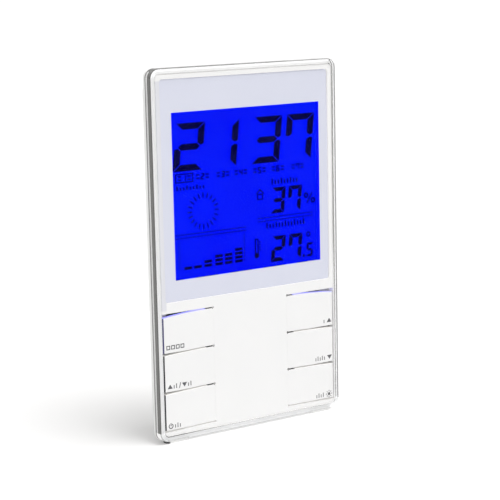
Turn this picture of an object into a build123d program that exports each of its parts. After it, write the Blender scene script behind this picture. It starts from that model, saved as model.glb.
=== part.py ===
"""Upright desk clock with thermometer and hygrometer, as separate pieces in millimetres.

Each piece is drawn lying on its back: u runs to the right, v runs up the face from the case's
lower edge, and depth runs from the face towards the back, so z is minus the depth. At the end
every piece is stood up, leant back a little and set on the table at Z = 0, face towards -Y.
"""

import math
import os

from build123d import *

# Whole case
face_width = 75.0
face_height = 125.0
corner_radius = 3.2
lean_deg = 2.1
pad_height = 0.7
overrun = 1.0
same_depth = 0.01
hidden_sides = 12
seen_sides = 24

# Clear frame round the face
frame_depth = 3.2
frame_rim = 1.9
frame_inner_radius = 1.4
frame_edge_chamfer = 0.45
frame_inner_chamfer = 0.25
seam_groove = 0.25

# Rear housing
rear_rim_depth = 2.0
rear_edge_chamfer = 0.7
rear_skin = 1.4
hump_depth = 16.8
hump_wall = 1.6
hump_side_inset = 4.4
hump_side_margin = 1.7
hump_top_inset = 1.8
hump_back_top_inset = 4.0
hump_low = 1.2
hump_radius = 5.0
hump_edge = 1.4
hollow_corner = 2.2

# Front plate
plate_recess = 0.3
plate_thickness = 1.2
plate_gap = 0.1
plate_radius = 1.3
plate_skirt = 1.2
plate_edge_chamfer = 0.15
pocket_floor = 0.8

# Display lens and its printed border
lens_side_margin = 3.7
lens_top_margin = 3.6
lens_above_slit = 3.8
lens_thickness = 1.0
lens_recess = 0.5
lens_radius = 1.0
lens_gap = 0.1
lens_chamfer = 0.15
border_thickness = 0.15
border_margin = 0.3
window_side_margin = 3.95
window_low_margin = 6.9
window_top_margin = 11.1
aperture_margin = 0.5
film_gap = 0.05

# Display glass, light guide and the parts that light it
glass_side_lap = 1.35
glass_top_margin = 2.5
glass_front_thickness = 1.0
glass_rear_thickness = 0.9
contact_ledge = 3.2
glass_bottom_margin = 0.3
guide_side_margin = 0.7
guide_thickness = 1.7
reflector_thickness = 0.2
glass_rib = 1.0
glass_rib_gap = 0.2
rib_end_gap = 0.1
strip_end_margin = 5.2
strip_height = 1.8
strip_low_margin = 0.2
lamp_count = 4
lamp_pitch_share = 0.23
lamp_width = 3.8
lamp_height = 1.6
lamp_thickness = 0.8
lamp_gap = 0.1

# Key tongues: three to a side, between four slits
lowest_slit = 3.86
key_pitch = 13.28
keys_per_side = 3
centre_width = 30.4
root_gap = 0.08
slit_width = 0.36
slit_drop = 0.8
key_end_margin = 0.3
relief_radius = 0.4
relief_sides = 8
relief_inset = 0.25
key_thickness = 1.2
key_edge_chamfer = 0.12
key_rib = 0.9
key_rib_depth = 0.8
key_root_lap = 0.7
lap_thickness = 0.6
lap_gap = 0.06
post_reach_share = 0.4627
post_width = 2.6
post_rib = 0.9
post_gap = 0.08

# Switches on the board behind the keys
switch_size = 6.0
switch_body_height = 3.2
plunger_width = 3.4
plunger_height = 0.85
plunger_engage = 0.5
plunger_room = 0.5
plunger_clearance = 0.05

# Main board
board_front = 6.6
board_thickness = 1.0
board_side_margin = 8.5
board_low = 6.0
board_top_margin = 5.0
boss_notch_margin = 0.3

# Parts on the board's back
processor_radius = 6.0
processor_height = 1.6
processor_slope = 3.4
processor_step = 1.1
processor_share = -0.45
processor_gap_to_bay = 0.3
crystal_radius = 1.55
crystal_length = 8.0
crystal_share = 0.14
buzzer_radius = 6.0
buzzer_height = 6.5
buzzer_hole_radius = 1.0
buzzer_hole_depth = 1.5
buzzer_share = 0.52
buzzer_gap_to_bay = 14.0
sensor_width = 12.0
sensor_height = 15.0
sensor_depth = 5.5
sensor_wall = 1.0
sensor_slots = 5
sensor_slot_width = 1.2
sensor_share = -0.35
sensor_from_top = 22.0

# Housing screws, their bosses and towers
tower_side_margin = 16.0
tower_top_margin = 8.5
tower_lower_u = 8.5
tower_lower_v = 24.0
tower_radius = 3.6
boss_radius = 2.4
boss_end = 9.1
tower_gap = 0.1
tower_floor = 2.2
counterbore_radius = 2.6
screw_hole_radius = 1.4
screw_shank_radius = 1.0
screw_shank_length = 7.5
screw_head_radius = 2.2
screw_head_height = 1.6
pilot_clearance = 0.05
pilot_spare = 0.4

# Board screws and their posts
board_post_radius = 1.9
board_post_side_margin = 2.0
board_post_above_slit = 2.8
board_screw_radius = 0.7
board_screw_length = 3.0
board_head_radius = 1.5
board_head_height = 0.6
board_hole_radius = 0.9

# Battery bay, cells and contacts
cell_radius = 5.25
cell_length = 44.5
cell_button_radius = 1.9
cell_button_length = 1.0
cell_edge_bevel = 0.5
cell_pitch = 11.3
cell_depth_gap = 0.15
cell_side_gap = 0.25
spring_room = 3.95
bay_wall = 1.6
bay_floor = 1.2
bay_above_foot = 1.25
board_to_bay = 0.8
contact_thickness = 0.35
contact_width = 9.0
contact_front_gap = 0.6
contact_back_gap = 0.8
tail_width = 2.0
tail_gap = 0.1
contact_gap = 0.05
spring_wire = 0.5
spring_wire_sides = 5
spring_turns = 2.5
spring_large_radius = 3.2
spring_small_radius = 2.0
spring_seat_gap = 0.03

# Battery door
door_thickness = 1.6
door_overlap = 0.8
door_gap = 0.2
door_radius = 1.2
door_tab_width = 6.0
door_tab_u = 14.0
door_tab_drop = 1.8
door_tab_thickness = 1.2
door_tab_gap = 0.12
door_tab_root = 1.6
tab_sweep = 3.6
tab_side_gap = 0.3
grip_count = 4
grip_width = 14.0
grip_height = 0.9
grip_pitch = 2.0
grip_relief = 0.4
grip_from_top = 4.5

# Vents in the back
vent_count = 5
vent_width = 28.0
vent_height = 1.6
vent_pitch = 3.2
vent_from_top = 28.0

# Fold-out foot and its pin
foot_width = 26.0
foot_length = 30.0
foot_thickness = 2.4
foot_axis_height = 3.3
foot_knuckle_radius = 2.2
foot_tip_width = 21.0
foot_corner = 3.0
foot_side_gap = 0.3
foot_back_gap = 0.25
foot_end_gap = 0.5
recess_wall = 1.4
ear_width = 4.2
pin_radius = 0.9
pin_grip = 3.0
pin_housing_clearance = 0.02
pin_foot_clearance = 0.06
foot_groove_width = 16.0
foot_groove_height = 1.2
foot_groove_depth = 0.5
foot_groove_count = 3
foot_groove_pitch = 2.4
foot_groove_from_tip = 4.0

# Rubber pads under the lower edge
pad_length = 9.0
pad_width = 2.9
pad_front = 1.0
pad_corner_inset = 2.8
pad_corner_share = 0.25

# Sizes that follow
half_width = face_width / 2
lean = math.radians(lean_deg)
slab_depth = frame_depth + rear_rim_depth
back_depth = slab_depth + hump_depth
inner_half = half_width - frame_rim
plate_half = inner_half - plate_gap
plate_low = frame_rim + plate_gap
plate_high = face_height - plate_low
plate_back = plate_recess + plate_thickness
cavity_back = slab_depth - rear_skin

# Keys and slits
slit_top = lowest_slit + keys_per_side * key_pitch
root_u = centre_width / 2
key_back = plate_recess + key_thickness
key_end = inner_half - key_end_margin
post_reach = (key_end - root_u) * post_reach_share
post_u = root_u + post_reach
plunger_front = board_front - switch_body_height - plunger_height
post_end = plunger_front - post_gap

# Lens and display, from the front to the back
lens_width = face_width - 2 * lens_side_margin
lens_low = slit_top + lens_above_slit
lens_high = face_height - lens_top_margin
lens_back = lens_recess + lens_thickness
window_width = lens_width - 2 * window_side_margin
window_low = lens_low + window_low_margin
window_high = lens_high - window_top_margin
pocket_depth = lens_back + border_thickness + film_gap
pocket_back = pocket_depth + pocket_floor
glass_width = window_width + 2 * glass_side_lap
glass_front = pocket_back + film_gap
glass_middle = glass_front + glass_front_thickness
glass_back = glass_middle + glass_rear_thickness
glass_high = window_high + glass_top_margin
rear_glass_low = window_low - glass_bottom_margin
glass_low = rear_glass_low - contact_ledge
guide_width = glass_width - 2 * guide_side_margin
guide_front = glass_back + film_gap
guide_back = guide_front + guide_thickness
reflector_back = guide_back + reflector_thickness
strip_width = glass_width - 2 * strip_end_margin
lamp_pitch = guide_width * lamp_pitch_share

# Board, screws and their places
board_half = half_width - board_side_margin
board_high = face_height - board_top_margin
board_back = board_front + board_thickness
board_post_u = board_half - board_post_side_margin
board_post_low_v = slit_top + board_post_above_slit
tower_upper_u = half_width - tower_side_margin
tower_upper_v = face_height - tower_top_margin
tower_seat = boss_end + tower_gap + tower_floor

# Foot
floor_drop = slab_depth * math.sin(lean) + pad_height
foot_axis_depth = back_depth - foot_axis_height
foot_axis_v = (foot_axis_height - floor_drop + foot_axis_depth * math.sin(lean)) / math.cos(lean)
foot_axis_y = foot_axis_v * math.sin(lean) + foot_axis_depth * math.cos(lean)
recess_floor = back_depth - foot_thickness - foot_back_gap
recess_half = foot_width / 2 + foot_side_gap
recess_top = foot_axis_v + foot_length + foot_end_gap
knuckle_room = foot_knuckle_radius + foot_side_gap
middle_y = (foot_axis_y + foot_length) / 2

# Battery bay and door, above the foot
bay_half_width = (cell_length + 2 * contact_thickness + contact_gap + spring_room) / 2
bay_half_height = cell_pitch / 2 + cell_radius + cell_side_gap
bay_v = recess_top + recess_wall + bay_above_foot + bay_wall + bay_half_height
bay_top = bay_v + bay_half_height + bay_wall
bay_floor_front = board_back + board_to_bay
bay_floor_back = bay_floor_front + bay_floor
cell_depth = bay_floor_back + cell_depth_gap + cell_radius
door_inner = back_depth - door_thickness
door_half_width = bay_half_width + door_overlap
door_half_height = bay_half_height + door_overlap
door_low = bay_v - door_half_height
hump_back_half = bay_half_width + bay_wall + hump_side_margin

# Parts on the board's back, above the bay
processor_u = board_half * processor_share
crystal_u = board_half * crystal_share
buzzer_u = board_half * buzzer_share
sensor_u = board_half * sensor_share
processor_v = bay_top + processor_gap_to_bay + processor_radius
buzzer_v = bay_top + buzzer_gap_to_bay + buzzer_radius
sensor_v = face_height - sensor_from_top
vent_v = face_height - vent_from_top

SIDES = {"left": -1, "right": 1}
ROWS = ["upper", "middle", "lower"][:keys_per_side]


def cut_block(sketch, front, back):
    """A sketch pulled from one depth to a greater one."""
    return extrude(Pos(0, 0, -back) * sketch, amount=back - front)


def rect(low_u, high_u, low_v, high_v, radius=0.0):
    """A rectangle from edge to edge, with rounded corners where a radius is given."""
    width = high_u - low_u
    height = high_v - low_v
    shape = RectangleRounded(width, height, radius) if radius else Rectangle(width, height)
    return Pos((low_u + high_u) / 2, (low_v + high_v) / 2) * shape


def small_post(u, v, radius, front, back, sides=hidden_sides):
    """A small round bar or bore, drawn with flat sides, and with few where it is out of sight."""
    return cut_block(Pos(u, v) * RegularPolygon(radius, sides), front, back)


def edges_at(shape, depth):
    """The edges that lie wholly at one depth."""
    return shape.edges().filter_by_position(Axis.Z, -depth - same_depth, -depth + same_depth)


def face_outline(inset, radius):
    return rect(inset - half_width, half_width - inset, inset, face_height - inset, radius)


def hump_sides(depth, inset):
    """Where the hump's four sides lie at a depth, drawn in where an inset is given."""
    way = (depth - slab_depth) / hump_depth
    half = half_width - hump_side_inset
    half += way * (hump_back_half - half) - inset
    top = hump_top_inset + way * (hump_back_top_inset - hump_top_inset) + inset
    return -half, half, hump_low + inset, face_height - top


def hump_outline(depth, inset):
    return Pos(0, 0, -depth) * rect(*hump_sides(depth, inset), hump_radius - inset)


def hollow_outline(depth):
    """The hump's inside at a depth, with its corners cut straight."""
    section = rect(*hump_sides(depth, hump_wall))
    return Pos(0, 0, -depth) * chamfer(section.vertices(), hollow_corner)


def make_clear_frame():
    ring = cut_block(face_outline(0, corner_radius), 0, frame_depth)
    ring = chamfer(edges_at(ring, 0), frame_edge_chamfer)
    ring = chamfer(edges_at(ring, frame_depth), seam_groove)
    opening = cut_block(face_outline(frame_rim, frame_inner_radius), -overrun, frame_depth + overrun)
    ring -= opening
    inner = [e for e in edges_at(ring, 0) if e.bounding_box().max.X <= inner_half + frame_inner_chamfer]
    inner = [e for e in inner if e.bounding_box().min.X >= -inner_half - frame_inner_chamfer]
    return chamfer(inner, frame_inner_chamfer)


def slit_arc(side, row):
    """A slit's middle line: level at its inner end and drooping towards the case's edge."""
    v = slit_top - row * key_pitch
    start = (side * root_u, v)
    end = (side * (inner_half + overrun), v - slit_drop)
    return TangentArc(start, end, tangent=(side, 0))


def key_outline(side, row):
    """One tongue's outline, from its root to its free end, between two slits."""
    top = Pos(0, -slit_width / 2) * slit_arc(side, row)
    low = Pos(0, slit_width / 2) * slit_arc(side, row + 1)
    band = make_face(Wire([top, Line(top @ 1, low @ 1), low, Line(low @ 0, top @ 0)]))
    return (Sketch() + band) & band_across(side, root_u + root_gap, key_end)


def band_across(side, near, far, low_v=0.0, high_v=face_height):
    """A rectangle on one side of the middle, from its near edge to its far one."""
    return rect(*sorted((side * near, side * far)), low_v, high_v)


def relief_holes(side, depth_from, depth_to):
    """Round ends of the slits, which keep the tongues' roots from tearing."""
    holes = Part()
    for row in range(keys_per_side + 1):
        u = side * (root_u + relief_inset)
        end = Pos(u, slit_top - row * key_pitch) * RegularPolygon(relief_radius, relief_sides)
        holes += cut_block(end, depth_from, depth_to)
    return holes


def make_key(side, row):
    outline = key_outline(side, row)
    key = cut_block(outline, plate_recess, key_back)
    key = chamfer(edges_at(key, plate_recess), key_edge_chamfer)
    tray = outline - offset(outline, -key_rib)
    clear_root = band_across(side, root_u + key_root_lap + key_rib, key_end)
    key += cut_block(tray & clear_root, key_back, key_back + key_rib_depth)
    lap = band_across(side, root_u - overrun, root_u + key_root_lap + lap_gap)
    key -= cut_block(lap, key_back - lap_thickness - lap_gap, key_back + overrun)
    key -= relief_holes(side, 0, key_back + overrun)
    return key + cross_post(side * post_u, key_centre(row))


def cross_post(u, v):
    """The cross-shaped rib behind a tongue, which pushes the switch's plunger."""
    half = post_width / 2
    rib = post_rib / 2
    cross = rect(u - half, u + half, v - rib, v + rib) + rect(u - rib, u + rib, v - half, v + half)
    return cut_block(cross, key_back, post_end)


def key_window(side):
    """The open side of the plate where the tongues lie; its top edge stays level."""
    low = Pos(0, -slit_width / 2) * slit_arc(side, keys_per_side)
    top = slit_top + slit_width / 2
    corner = (side * (inner_half + overrun), top)
    inner = (side * root_u, top)
    edge = Wire([low, Line(low @ 1, corner), Line(corner, inner), Line(inner, low @ 0)])
    return Sketch() + make_face(edge)


def make_front_plate():
    outline = rect(-plate_half, plate_half, plate_low, plate_high, plate_radius)
    inside = rect(plate_skirt - plate_half, plate_half - plate_skirt,
                  plate_low + plate_skirt, plate_high - plate_skirt)
    plate = cut_block(outline, plate_recess, plate_back)
    plate = chamfer(edges_at(plate, plate_recess), plate_edge_chamfer)
    plate += cut_block(outline - inside, plate_back, cavity_back)
    bed_low = slit_top + slit_width / 2
    plate += cut_block(rect(-plate_half, plate_half, bed_low, plate_high - plate_skirt),
                       plate_back, pocket_back)
    plate = with_posts(plate)
    pocket = rect(-lens_width / 2 - lens_gap, lens_width / 2 + lens_gap,
                  lens_low - lens_gap, lens_high + lens_gap, lens_radius + lens_gap)
    plate -= cut_block(pocket, 0, pocket_depth)
    reach = window_width / 2 + aperture_margin
    aperture = rect(-reach, reach, window_low - aperture_margin, window_high + aperture_margin)
    plate -= cut_block(aperture, 0, pocket_back + overrun)
    rib_inner = glass_width / 2 + glass_rib_gap
    ribs = rect(-rib_inner - glass_rib, rib_inner + glass_rib, glass_low - glass_rib_gap - glass_rib,
                glass_high + glass_rib_gap + glass_rib)
    ribs -= rect(-rib_inner, rib_inner, glass_low - glass_rib_gap, glass_high + glass_rib_gap)
    plate += cut_block(ribs, pocket_back, cavity_back - rib_end_gap)
    for side in SIDES.values():
        plate -= cut_block(key_window(side), 0, cavity_back + overrun)
        plate -= relief_holes(side, 0, cavity_back + overrun)
        for row in range(keys_per_side):
            plate += root_lap(side, row)
    return plate


def with_posts(plate):
    """Adds the screws' bosses and the board's posts, each with its pilot hole."""
    for u, v in tower_places():
        plate += small_post(u, v, boss_radius, plate_back, boss_end)
        pilot_end = tower_seat - screw_shank_length - pilot_spare
        plate -= small_post(u, v, screw_shank_radius + pilot_clearance, pilot_end, boss_end + overrun)
    for u, v in board_post_places():
        plate += small_post(u, v, board_post_radius, plate_back, board_front)
        pilot_end = board_back - board_screw_length - board_thickness - pilot_spare
        plate -= small_post(u, v, board_screw_radius + pilot_clearance, pilot_end, board_front + overrun)
    return plate


def root_lap(side, row):
    """A shelf behind a tongue's root, which the root seats on."""
    v_high = slit_top - row * key_pitch - relief_radius - slit_width
    v_low = slit_top - (row + 1) * key_pitch + relief_radius + slit_width
    shelf = band_across(side, root_u - plate_skirt, root_u + key_root_lap, v_low, v_high)
    return cut_block(shelf, key_back - lap_thickness, key_back)


def tower_places():
    pairs = [(tower_upper_u, tower_upper_v), (tower_lower_u, tower_lower_v)]
    return [(side * u, v) for u, v in pairs for side in SIDES.values()]


def board_post_places():
    heights = [tower_upper_v, board_post_low_v]
    return [(side * board_post_u, v) for v in heights for side in SIDES.values()]


def make_display_lens():
    lens = cut_block(rect(-lens_width / 2, lens_width / 2, lens_low, lens_high, lens_radius),
                     lens_recess, lens_back)
    return chamfer(edges_at(lens, lens_recess), lens_chamfer)


def make_lens_border():
    half = lens_width / 2 - border_margin
    sheet = rect(-half, half, lens_low + border_margin, lens_high - border_margin, lens_radius)
    sheet -= rect(-window_width / 2, window_width / 2, window_low, window_high)
    return cut_block(sheet, lens_back, lens_back + border_thickness)


def display_sheet(width, low, front, back):
    return cut_block(rect(-width / 2, width / 2, low, glass_high), front, back)


def make_backlight_lamps():
    lamps = Part()
    high = rear_glass_low - lamp_gap
    for i in range(lamp_count):
        u = (i - (lamp_count - 1) / 2) * lamp_pitch
        lamp = rect(u - lamp_width / 2, u + lamp_width / 2, high - lamp_thickness, high)
        lamps += cut_block(lamp, board_front - lamp_height, board_front)
    return lamps


def make_contact_strip():
    low = glass_low + strip_low_margin
    return cut_block(rect(-strip_width / 2, strip_width / 2, low, low + strip_height),
                     glass_middle, board_front)


def make_main_board():
    """The board, notched for the housing's bosses and drilled for its own screws."""
    board = cut_block(rect(-board_half, board_half, board_low, board_high),
                      board_front, board_back)
    reach = boss_radius + boss_notch_margin
    for u, v in tower_places():
        top = board_high + overrun if v > board_post_low_v else v + reach
        notch = rect(u - reach, u + reach, v - reach, top)
        board -= cut_block(notch, board_front - overrun, board_back + overrun)
    for u, v in board_post_places():
        board -= small_post(u, v, board_hole_radius, board_front - overrun, board_back + overrun)
    return board


def key_centre(row):
    return slit_top - (row + 0.5) * key_pitch


def square(u, v, size):
    return Pos(u, v) * Rectangle(size, size)


def make_switch_body(side, row):
    u = side * post_u
    v = key_centre(row)
    front = board_front - switch_body_height
    body = cut_block(square(u, v, switch_size), front, board_front)
    well = square(u, v, plunger_width + 2 * plunger_clearance)
    return body - cut_block(well, front - overrun, front + plunger_engage + plunger_room)


def make_switch_plunger(side, row):
    back = board_front - switch_body_height + plunger_engage
    return cut_block(square(side * post_u, key_centre(row), plunger_width), plunger_front, back)


def make_processor():
    """A drop of black resin over the chip, which slopes down to its edge."""
    top = board_back + processor_height
    drop = small_post(processor_u, processor_v, processor_radius, board_back, top, seen_sides)
    return chamfer(edges_at(drop, top), processor_step, processor_slope)


def make_crystal():
    can = extrude(RegularPolygon(crystal_radius, hidden_sides), amount=crystal_length)
    return Pos(crystal_u, processor_v, -board_back - crystal_radius) * Rot(Y=90) * can


def make_buzzer():
    top = board_back + buzzer_height
    can = small_post(buzzer_u, buzzer_v, buzzer_radius, board_back, top, seen_sides)
    return can - small_post(buzzer_u, buzzer_v, buzzer_hole_radius, top - buzzer_hole_depth, top + overrun)


def make_humidity_sensor():
    low_u = sensor_u - sensor_width / 2
    low_v = sensor_v - sensor_height / 2
    body = cut_block(rect(low_u, low_u + sensor_width, low_v, low_v + sensor_height),
                     board_back, board_back + sensor_depth)
    for i in range(sensor_slots):
        v = low_v + (i + 0.5) * sensor_height / sensor_slots
        slot = rect(low_u + sensor_wall, low_u + sensor_width - sensor_wall,
                    v - sensor_slot_width / 2, v + sensor_slot_width / 2)
        body -= cut_block(slot, board_back + sensor_depth - sensor_wall, board_back + sensor_depth + overrun)
    return body


def housing_envelope():
    """The rear housing's outside, before anything is hollowed out."""
    rim = cut_block(face_outline(0, corner_radius), frame_depth, slab_depth)
    rim = chamfer(edges_at(rim, slab_depth), rear_edge_chamfer)
    shoulder = back_depth - hump_edge
    sections = [hump_outline(slab_depth, 0), hump_outline(shoulder, 0), hump_outline(back_depth, hump_edge)]
    root = rect(*hump_sides(slab_depth, 0), hump_radius)
    return rim + loft(sections, ruled=True) + cut_block(root, cavity_back, slab_depth)


def housing_hollow():
    inner = cut_block(face_outline(frame_rim, 0), frame_depth - overrun, cavity_back)
    front = cavity_back - overrun
    return inner + loft([hollow_outline(front), hollow_outline(back_depth - hump_wall)], ruled=True)


def bay_walls():
    half_u = bay_half_width + bay_wall
    half_v = bay_half_height + bay_wall
    return cut_block(rect(-half_u, half_u, bay_v - half_v, bay_v + half_v), bay_floor_front, door_inner)


def foot_surround():
    """Walls round the folded foot's recess, with solid ears that hold the pin's ends."""
    ear = recess_half + ear_width
    side = recess_half + recess_wall
    walls = cut_block(rect(-side, side, hump_low, recess_top + recess_wall),
                      recess_floor - recess_wall, back_depth)
    ears_top = foot_axis_v + knuckle_room + recess_wall
    ears_front = foot_axis_depth - knuckle_room - recess_wall
    return walls + cut_block(rect(-ear, ear, hump_low, ears_top), ears_front, back_depth)


def foot_recess():
    bottom = -overrun
    flat = cut_block(rect(-recess_half, recess_half, bottom, recess_top), recess_floor, back_depth + overrun)
    well = cut_block(rect(-recess_half, recess_half, bottom, foot_axis_v + knuckle_room),
                     foot_axis_depth - knuckle_room, back_depth + overrun)
    return flat + well


def pin_bar(radius, half_length):
    bar = Rot(Y=90) * Cylinder(radius, 2 * half_length)
    return Pos(0, foot_axis_v, -foot_axis_depth) * bar


def battery_bay():
    room = cut_block(rect(-bay_half_width, bay_half_width, bay_v - bay_half_height, bay_v + bay_half_height),
                     bay_floor_back, back_depth + overrun)
    half_u = door_half_width + door_gap
    half_v = door_half_height + door_gap
    mouth = cut_block(rect(-half_u, half_u, bay_v - half_v, bay_v + half_v, door_radius + door_gap),
                      door_inner, back_depth + overrun)
    for side in SIDES.values():
        reach = door_tab_width / 2 + tab_side_gap
        u = side * door_tab_u
        notch = rect(u - reach, u + reach, door_low - door_tab_drop - door_gap, bay_v)
        mouth += cut_block(notch, back_depth - tab_sweep - door_gap, door_inner)
        mouth += tail_slot(side)
    return room + mouth


def tail_slot(side):
    """A slot in the bay's floor for a contact's tail; the link on the right has none."""
    if side > 0:
        return Part()
    slots = Part()
    for cell in (-1, 1):
        v = bay_v + cell * cell_pitch / 2
        half = tail_width / 2 + tail_gap
        inner = bay_half_width - contact_thickness - tail_gap
        slots += cut_block(band_across(side, inner, bay_half_width, v - half, v + half),
                           bay_floor_front - overrun, bay_floor_back + overrun)
    return slots


def make_rear_housing():
    envelope = housing_envelope()
    inside = bay_walls() + foot_surround()
    for u, v in tower_places():
        inside += small_post(u, v, tower_radius, boss_end + tower_gap, back_depth)
    housing = (envelope - housing_hollow()) + (inside & envelope)
    housing -= battery_bay()
    housing -= foot_recess()
    housing -= pin_bar(pin_radius + pin_housing_clearance, recess_half + pin_grip + pin_housing_clearance)
    for u, v in tower_places():
        housing -= small_post(u, v, screw_hole_radius, boss_end - overrun, tower_seat + overrun)
        housing -= small_post(u, v, counterbore_radius, tower_seat, back_depth + overrun, seen_sides)
    for i in range(vent_count):
        v = vent_v + i * vent_pitch
        slot = Pos(0, v) * Rectangle(vent_width, vent_height)
        housing -= cut_block(slot, back_depth - hump_wall - overrun, back_depth + overrun)
    return housing


def make_battery_door():
    high = bay_v + door_half_height
    door = cut_block(rect(-door_half_width, door_half_width, door_low, high, door_radius),
                     door_inner, back_depth)
    for side in SIDES.values():
        u = side * door_tab_u
        half = door_tab_width / 2
        back = door_inner - door_tab_gap
        lip = rect(u - half, u + half, door_low - door_tab_drop, door_low + door_tab_root)
        door += cut_block(lip, back - door_tab_thickness, back)
        neck = rect(u - half, u + half, door_low + door_gap, door_low + door_tab_root)
        door += cut_block(neck, back, door_inner)
    for i in range(grip_count):
        v = high - grip_from_top - i * grip_pitch
        groove = Pos(0, v) * Rectangle(grip_width, grip_height)
        door -= cut_block(groove, back_depth - grip_relief, back_depth + overrun)
    return door


def make_cell(side, v):
    """A cell lying across the bay, with its button towards the given side."""
    tip = bay_half_width - contact_thickness - contact_gap
    body_end = tip - cell_button_length
    start = tip - cell_length
    shoulder = cell_radius - cell_edge_bevel
    outline = Polyline((start, 0), (start, shoulder), (start + cell_edge_bevel, cell_radius),
                       (body_end - cell_edge_bevel, cell_radius), (body_end, shoulder),
                       (body_end, cell_button_radius), (tip, cell_button_radius), (tip, 0), close=True)
    body = revolve(make_face(outline), axis=Axis.X)
    turn = Rot(Z=0 if side > 0 else 180)
    return Pos(0, v, -cell_depth) * turn * body


def make_contact(side, low, high, has_tail):
    back = door_inner - contact_back_gap
    front = bay_floor_back + contact_front_gap
    near = bay_half_width - contact_thickness
    contact = cut_block(band_across(side, near, bay_half_width, low, high), front, back)
    if has_tail:
        v = (low + high) / 2
        tail = band_across(side, near, bay_half_width, v - tail_width / 2, v + tail_width / 2)
        contact += cut_block(tail, board_back, front)
    return contact


def make_contact_spring(side, v):
    """A tapering coil of round wire, each half turn one arc that starts and ends square to the last."""
    seat = bay_half_width - contact_thickness - spring_wire / 2 - spring_seat_gap
    cell_end = bay_half_width - contact_thickness - contact_gap - cell_length
    reach = seat - (-cell_end) - spring_wire / 2 - spring_seat_gap
    halves = round(2 * spring_turns)
    arcs = []
    points = []
    for i in range(halves + 1):
        share = i / halves
        radius = spring_large_radius + share * (spring_small_radius - spring_large_radius)
        flip = 1 if i % 2 == 0 else -1
        points.append(Vector(side * (seat - share * reach), v + flip * radius, -cell_depth))
    for i in range(halves):
        chord = points[i + 1] - points[i]
        flip = 1 if i % 2 == 0 else -1
        top = (points[i] + points[i + 1]) / 2 + Vector(0, 0, flip * chord.length / 2)
        arcs.append(ThreePointArc(points[i], top, points[i + 1]))
    path = Wire(arcs)
    print("contact spring's least gap between turns", round(reach / spring_turns - spring_wire, 2), "mm")
    wire = RegularPolygon(spring_wire / 2, spring_wire_sides)
    return sweep(Plane(origin=path @ 0, z_dir=path % 0) * wire, path=path)


def make_housing_screws():
    screws = Part()
    for u, v in tower_places():
        screws += small_post(u, v, screw_shank_radius, tower_seat - screw_shank_length, tower_seat)
        head_back = tower_seat + screw_head_height
        screws += small_post(u, v, screw_head_radius, tower_seat, head_back, seen_sides)
    return screws


def make_board_screws():
    screws = Part()
    for u, v in board_post_places():
        front = board_back - board_screw_length - board_thickness
        screws += small_post(u, v, board_screw_radius, front, board_back)
        screws += small_post(u, v, board_head_radius, board_back, board_back + board_head_height)
    return screws


def stood_up(piece):
    """Turns a piece drawn on its back upright, leans it back and sets it on the table."""
    return Pos(0, -middle_y, floor_drop) * Rot(X=90 - lean_deg) * piece


def make_foot():
    """The foot folded out: it lies flat on the table behind the case, drawn where it stands."""
    y0 = foot_axis_y - middle_y
    half = foot_width / 2
    tip = foot_tip_width / 2
    plan = Polyline((-half, y0), (half, y0), (half, y0 + foot_length / 2), (tip, y0 + foot_length),
                    (-tip, y0 + foot_length), (-half, y0 + foot_length / 2), close=True)
    sheet = make_face(plan)
    corners = sheet.vertices().sort_by(Axis.Y)[-2:]
    sheet = fillet(corners, foot_corner)
    plate = extrude(sheet, amount=foot_thickness)
    barrel = Pos(0, y0, foot_axis_height) * Rot(Y=90) * Cylinder(foot_knuckle_radius, foot_width)
    web = Pos(0, y0 + foot_knuckle_radius / 2, foot_axis_height / 2) * Box(
        foot_width, foot_knuckle_radius, foot_axis_height)
    foot = plate + barrel + web
    foot -= Pos(0, y0, foot_axis_height) * Rot(Y=90) * Cylinder(pin_radius + pin_foot_clearance,
                                                               foot_width + overrun)
    for i in range(foot_groove_count):
        y = y0 + foot_length - foot_groove_from_tip - i * foot_groove_pitch
        groove = extrude(Pos(0, y) * Rectangle(foot_groove_width, foot_groove_height),
                         amount=foot_groove_depth)
        foot -= groove
    return foot


def make_pad(side):
    """A rubber pad under the lower edge, cut level where it meets the table."""
    outer = half_width - pad_corner_inset
    edges = sorted((side * outer, side * (outer - pad_length)))
    middle_u = sum(edges) / 2
    middle_depth = pad_front + pad_width / 2
    section = Rectangle(pad_length, pad_width)
    section = chamfer(section.vertices(), pad_width * pad_corner_share)
    block = extrude(section, amount=pad_height + pad_width)
    pad = stood_up(Pos(middle_u, 0, -middle_depth) * Rot(X=90) * block)
    table = Pos(0, 0, -overrun * pad_width) * Box(2 * face_width, 2 * face_width, 2 * overrun * pad_width)
    return pad - table


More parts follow.
